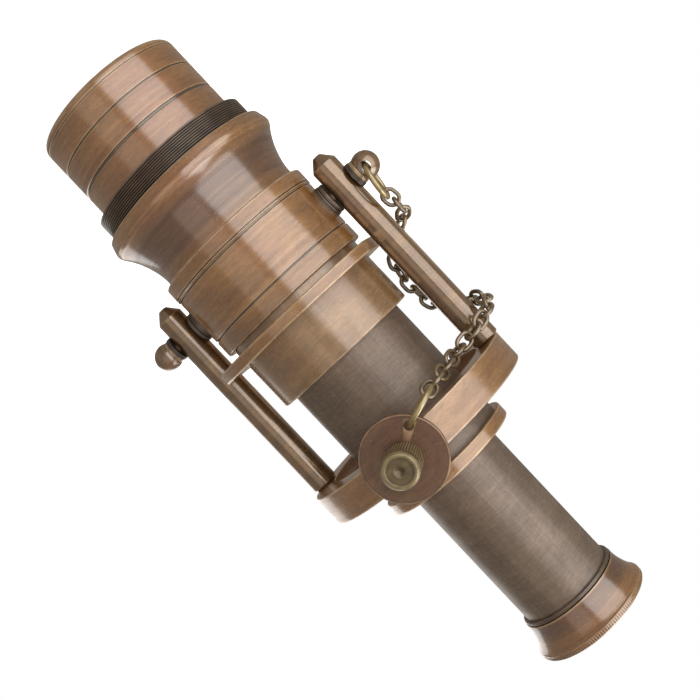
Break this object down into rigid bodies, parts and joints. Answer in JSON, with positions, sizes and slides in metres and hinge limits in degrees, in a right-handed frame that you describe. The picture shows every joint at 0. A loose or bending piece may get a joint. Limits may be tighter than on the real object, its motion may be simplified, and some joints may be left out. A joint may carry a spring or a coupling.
{
  "type": "hand telescope with swinging yoke",
  "caption": "Brass draw-tube hand telescope with a capped objective, a flared eyecup and a ring yoke on pivot screws, with a disc on a chain.",
  "frame": {"origin": "centre of the objective cap's flat front face, on the optical axis", "axes": "+Z along the optical axis from the objective cap to the eyecup, -Y towards the cover disc and thumb screw, X through the two pivot screws, -X the one with the drilled ball"},
  "size_m": [0.066, 0.061, 0.1508],
  "materials": {
    "aged_brass": "antiqued, satin, darkened in the grooves",
    "dark_brass": "dark antiqued, satin",
    "gunmetal": "bronzed grey-brown, satin, drawn lengthwise",
    "red_brass": "antiqued, reddish, satin",
    "bright_brass": "worn, yellower, semi-bright",
    "lens_glass": "polished"
  },
  "bodies": {
    "barrel": {"objective_cell": "dark_brass", "thread_ring": "dark_brass", "crown_lens": "lens_glass", "flint_lens": "lens_glass", "lens_retaining_ring": "dark_brass", "objective_collar": "aged_brass", "main_barrel": "aged_brass", "barrel_sleeve": "aged_brass", "guide_plate": "aged_brass", "pivot_boss_left": "dark_brass", "pivot_boss_right": "dark_brass"},
    "cap": {"objective_cap": "aged_brass"},
    "outer_draw": {"outer_draw_tube": "gunmetal", "outer_stop_ring": "dark_brass", "draw_bush": "aged_brass", "tube_collar": "aged_brass"},
    "inner_draw": {"inner_draw_tube": "gunmetal", "inner_stop_ring": "dark_brass", "erector_cell": "dark_brass", "erector_lens": "lens_glass", "field_lens": "lens_glass", "eyepiece_spacer": "dark_brass", "eyepiece_bead": "dark_brass"},
    "eyecup": {"eyecup": "aged_brass", "eye_lens": "lens_glass"},
    "yoke": {"band_ring": "aged_brass", "yoke_rod_left": "red_brass", "yoke_rod_right": "red_brass", "drilled_ball_screw": "aged_brass", "ball_washer_left": "dark_brass", "ball_washer_right": "dark_brass", "cover_disc": "red_brass", "disc_jump_ring": "bright_brass", "knob_jump_ring": "bright_brass", "chain": "dark_brass"},
    "ball_knob": {"plain_ball_screw": "aged_brass"},
    "thumb_screw": {"thumb_screw": "bright_brass"}
  },
  "joints": [
    {"name": "cap_slide", "type": "slide", "parent": "barrel", "child": "cap", "axis": [0, 0, 1], "range_m": [-0.0175, 0]},
    {"name": "outer_draw_slide", "type": "slide", "parent": "barrel", "child": "outer_draw", "axis": [0, 0, 1], "range_m": [-0.0298, 0]},
    {"name": "inner_draw_slide", "type": "slide", "parent": "outer_draw", "child": "inner_draw", "axis": [0, 0, 1], "range_m": [-0.0355, 0]},
    {"name": "eyecup_turn", "type": "hinge", "parent": "inner_draw", "child": "eyecup", "pos_m": [0, 0, 0.143], "axis": [0, 0, 1], "range_deg": [0, 720]},
    {"name": "yoke_pivot", "type": "hinge", "parent": "barrel", "child": "yoke", "pos_m": [0, 0, 0.0481], "axis": [1, 0, 0], "range_deg": [-6, 6]},
    {"name": "ball_knob_turn", "type": "hinge", "parent": "yoke", "child": "ball_knob", "pos_m": [0.02, 0, 0.0481], "axis": [1, 0, 0], "range_deg": [0, 360]},
    {"name": "thumb_screw_turn", "type": "hinge", "parent": "yoke", "child": "thumb_screw", "pos_m": [0, -0.03, 0.0954], "axis": [0, -1, 0], "range_deg": [0, 720]}
  ]
}
